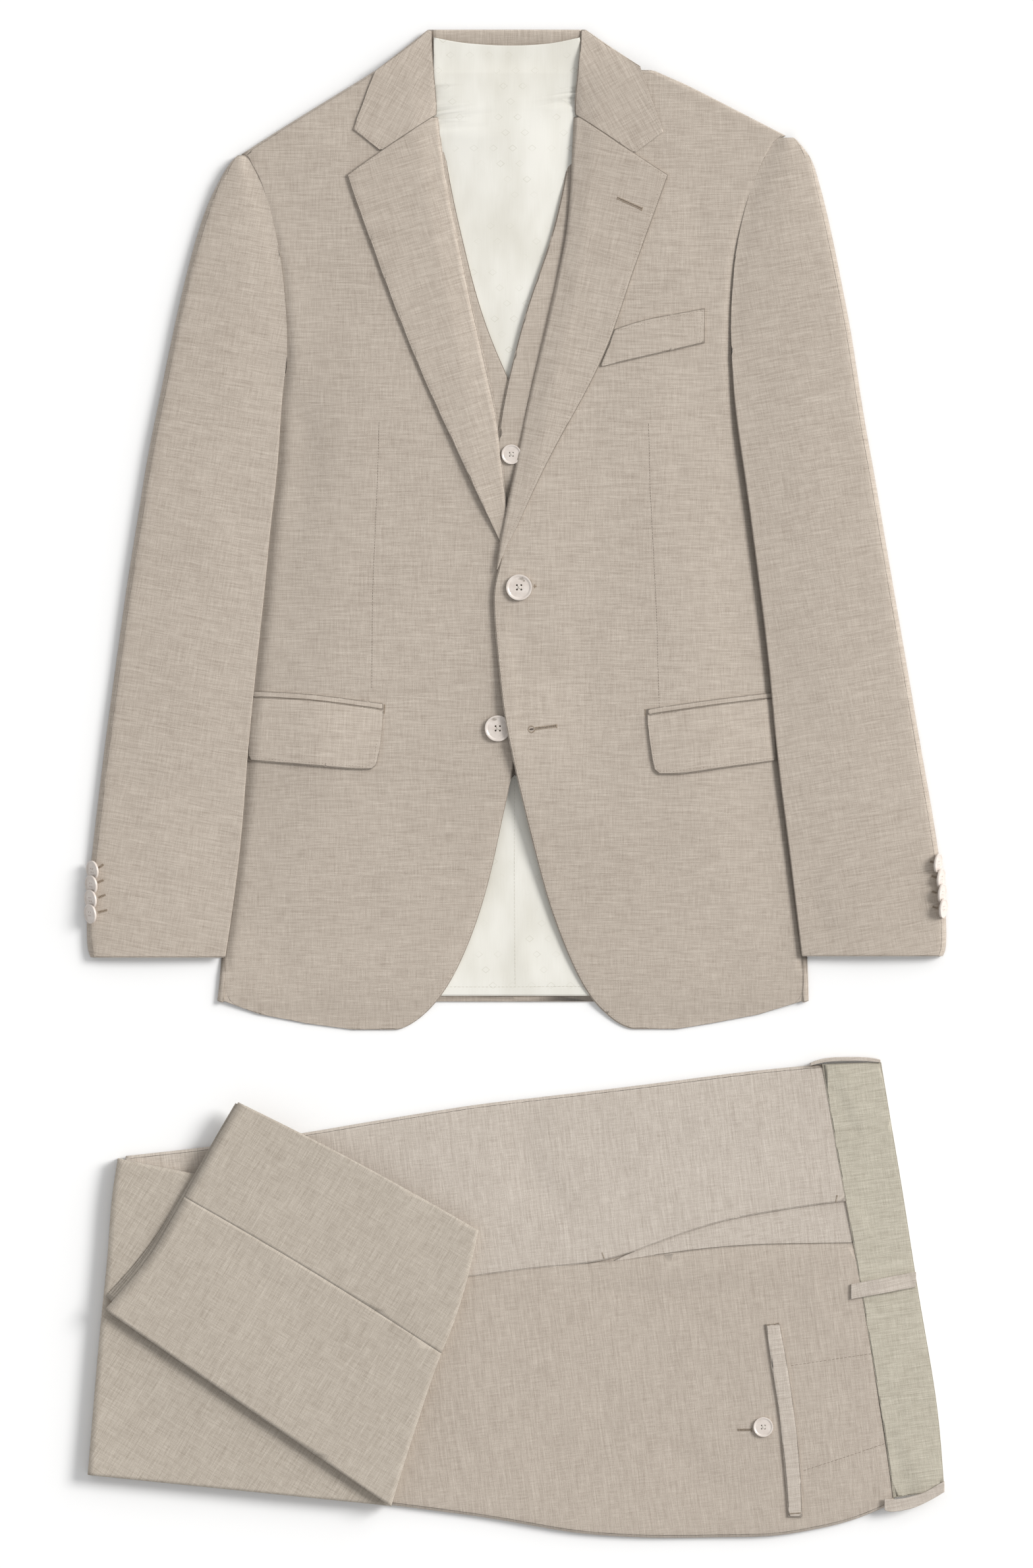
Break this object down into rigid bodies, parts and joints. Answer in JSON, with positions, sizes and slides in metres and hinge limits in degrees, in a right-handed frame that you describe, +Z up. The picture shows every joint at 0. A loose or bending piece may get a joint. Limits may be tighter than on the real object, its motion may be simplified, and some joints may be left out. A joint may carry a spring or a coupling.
{
  "type": "three-piece suit",
  "caption": "Three-piece suit laid flat: buttoned notch-lapel jacket with the waistcoat inside it, and folded trousers with both legs turned back.",
  "frame": {"origin": "middle of the underside of the whole laid-out set, on the surface it lies on", "axes": "+Y towards the jacket's collar, +X to the viewer's right (the wearer's left front), +Z up out of the surface"},
  "size_m": [0.6686, 1.1678, 0.02],
  "materials": {
    "suiting": "plain-weave melange wool, jacket and waistcoat fronts, light warm grey-beige",
    "trouser_cloth": "the same melange wool, pressed trouser cloth",
    "band_cloth": "the same wool cut across the grain, fused waistband",
    "lining": "cream satin lining with a small woven figure",
    "horn": "pale horn-effect button, satin gloss"
  },
  "bodies": {
    "root": {"jacket_back_left": "suiting", "jacket_back_lining": "lining", "jacket_back_right": "suiting", "jacket_button_lower": "horn", "jacket_button_upper": "horn", "jacket_chest_welt": "suiting", "jacket_collar_left": "suiting", "jacket_collar_right": "suiting", "jacket_collar_stand": "suiting", "jacket_cuff_button_left_1": "horn", "jacket_cuff_button_left_2": "horn", "jacket_cuff_button_left_3": "horn", "jacket_cuff_button_left_4": "horn", "jacket_cuff_button_right_1": "horn", "jacket_cuff_button_right_2": "horn", "jacket_cuff_button_right_3": "horn", "jacket_cuff_button_right_4": "horn", "jacket_front_left": "suiting", "jacket_front_right": "suiting", "jacket_lapel_left": "suiting", "jacket_lapel_right": "suiting", "jacket_pocket_flap_left": "suiting", "jacket_pocket_flap_right": "suiting", "jacket_pocket_jet_left": "suiting", "jacket_pocket_jet_right": "suiting", "jacket_side_left": "suiting", "jacket_side_right": "suiting", "jacket_sleeve_top_left": "suiting", "jacket_sleeve_top_right": "suiting", "jacket_sleeve_under_left": "suiting", "jacket_sleeve_under_right": "suiting", "trousers_back_button": "horn", "trousers_back_welt": "trouser_cloth", "trousers_left_back": "trouser_cloth", "trousers_left_front": "trouser_cloth", "trousers_legs_turned": "trouser_cloth", "trousers_loop_back": "trouser_cloth", "trousers_loop_front": "trouser_cloth", "trousers_loop_side": "trouser_cloth", "trousers_lower_back": "trouser_cloth", "trousers_lower_front": "trouser_cloth", "trousers_lower_layer_1": "trouser_cloth", "trousers_lower_layer_2": "trouser_cloth", "trousers_lower_layer_3": "trouser_cloth", "trousers_pocket_facing": "trouser_cloth", "trousers_right_leg": "trouser_cloth", "trousers_waistband_left": "band_cloth", "trousers_waistband_right": "band_cloth", "waistcoat_back": "lining", "waistcoat_button_1": "horn", "waistcoat_button_2": "horn", "waistcoat_button_3": "horn", "waistcoat_button_4": "horn", "waistcoat_button_5": "horn", "waistcoat_front_left": "suiting", "waistcoat_front_right": "suiting"}
  },
  "joints": []
}
